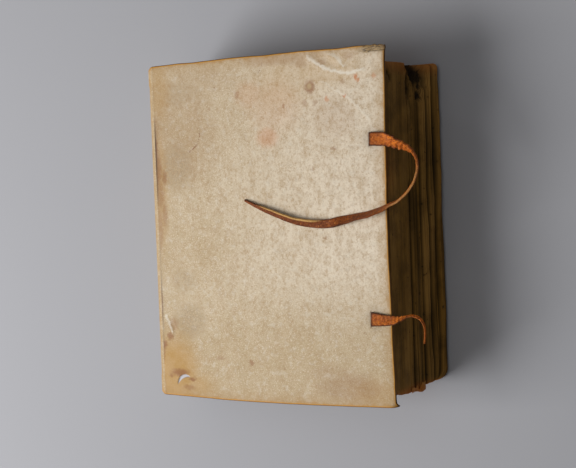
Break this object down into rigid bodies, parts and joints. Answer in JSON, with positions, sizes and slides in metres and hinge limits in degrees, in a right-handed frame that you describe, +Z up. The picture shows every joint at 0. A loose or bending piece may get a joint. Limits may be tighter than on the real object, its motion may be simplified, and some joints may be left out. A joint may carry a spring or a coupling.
{
  "type": "manuscript book",
  "caption": "Old handwritten book lying closed: thick block of sewn leaves in a turned-in vellum wrapper with hinged covers and two leather ties at the fore-edge.",
  "frame": {"origin": "under the middle of the closed book, on the surface that it lies on", "axes": "+X from spine to fore-edge, +Y from tail to head, +Z up from the lower cover to the upper cover"},
  "size_m": [0.1769, 0.2, 0.0683],
  "materials": {
    "vellum": "smooth matt animal skin, mottled and stained",
    "leaves": "edges of handmade paper, dark with handling",
    "pastedown_paper": "laid paper, toned",
    "tie_leather": "worn tanned leather",
    "tawed_skin": "soft white tawed skin",
    "linen_thread": "waxed linen",
    "lining_paper": "plain waste paper, pasted"
  },
  "bodies": {
    "leaves_and_spine": {"text_block": "leaves", "spine_cover": "vellum", "sewing_thread": "linen_thread", "head_endband_core": "tawed_skin", "tail_endband_core": "tawed_skin", "head_endband_winding": "linen_thread", "tail_endband_winding": "linen_thread", "sewing_support_1": "tawed_skin", "sewing_support_2": "tawed_skin", "sewing_support_3": "tawed_skin", "sewing_support_4": "tawed_skin", "spine_lining_1": "lining_paper", "spine_lining_2": "lining_paper", "spine_lining_3": "lining_paper", "spine_lining_4": "lining_paper", "spine_lining_5": "lining_paper"},
    "upper_board": {"upper_cover": "vellum", "upper_pastedown": "pastedown_paper", "upper_head_tie": "tie_leather", "upper_tail_tie": "tie_leather"},
    "lower_board": {"lower_cover": "vellum", "lower_pastedown": "pastedown_paper"}
  },
  "joints": [
    {"name": "upper_cover_hinge", "type": "hinge", "parent": "leaves_and_spine", "child": "upper_board", "pos_m": [-0.07867, 0, 0.0596], "axis": [0, -1, 0], "range_deg": [0, 180]},
    {"name": "lower_cover_hinge", "type": "hinge", "parent": "leaves_and_spine", "child": "lower_board", "pos_m": [-0.07867, 0, 0.0004], "axis": [0, 1, 0], "range_deg": [0, 180]}
  ]
}
